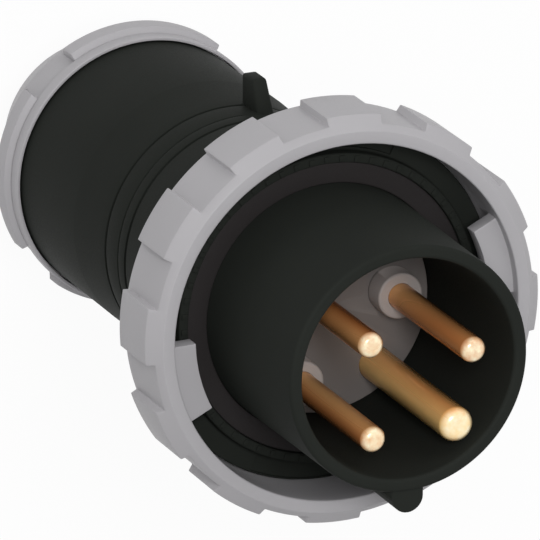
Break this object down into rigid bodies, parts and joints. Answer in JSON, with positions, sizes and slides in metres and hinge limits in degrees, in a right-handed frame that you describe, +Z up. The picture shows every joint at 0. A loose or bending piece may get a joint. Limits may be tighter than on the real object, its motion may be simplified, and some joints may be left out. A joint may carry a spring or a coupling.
{
  "type": "industrial plug",
  "caption": "Watertight industrial plug: keyed sleeve with brass pins, bayonet locking ring, two-part body and screwed cable gland nut.",
  "frame": {"origin": "on the plug's axis, in the plane of the sleeve's rim", "axes": "+Z up along the axis from the cable end to the mating face, +Y away from the key rib, +X to the right seen from the mating face with the key rib below"},
  "size_m": [0.0956, 0.0956, 0.182],
  "materials": {
    "housing_plastic": "fine moulded, slightly glossy",
    "grip_plastic": "fine moulded grain",
    "insert_plastic": "smooth moulded",
    "carrier_plastic": "smooth moulded",
    "gasket_rubber": "matt",
    "seal_rubber": "matt",
    "brass": "turned and polished",
    "plated_steel": "zinc plated"
  },
  "bodies": {
    "body": {"front_housing": "housing_plastic", "face_gasket": "gasket_rubber", "contact_insert": "insert_plastic", "insert_seal": "seal_rubber", "terminal_carrier": "carrier_plastic", "carrier_screw": "plated_steel", "earth_pin": "brass", "earth_terminal_screw": "plated_steel", "earth_pressure_plate": "plated_steel", "line_pin_1": "brass", "line_terminal_screw_1": "plated_steel", "line_pressure_plate_1": "plated_steel", "line_pin_2": "brass", "line_terminal_screw_2": "plated_steel", "line_pressure_plate_2": "plated_steel", "line_pin_3": "brass", "line_terminal_screw_3": "plated_steel", "line_pressure_plate_3": "plated_steel", "rear_housing": "housing_plastic", "housing_oring": "seal_rubber", "gland_seal": "seal_rubber"},
    "ring": {"locking_ring": "grip_plastic"},
    "thrust": {"gland_washer": "carrier_plastic", "clamp_cage": "carrier_plastic"},
    "nut": {"gland_nut": "grip_plastic"}
  },
  "joints": [
    {"name": "ring_turn", "type": "hinge", "parent": "body", "child": "ring", "pos_m": [0, 0, -0.042], "axis": [0, 0, 1], "range_deg": [0, 45]},
    {"name": "nut_travel", "type": "slide", "parent": "body", "child": "thrust", "axis": [0, 0, -1], "range_m": [0, 0.0091]},
    {"name": "nut_turn", "type": "hinge", "parent": "thrust", "child": "nut", "pos_m": [0, 0, -0.166], "axis": [0, 0, -1], "range_deg": [0, 1080]}
  ],
  "couplings": [
    {"joint": "nut_travel", "follows": "nut_turn", "m_per_rad": 0.00047746}
  ]
}
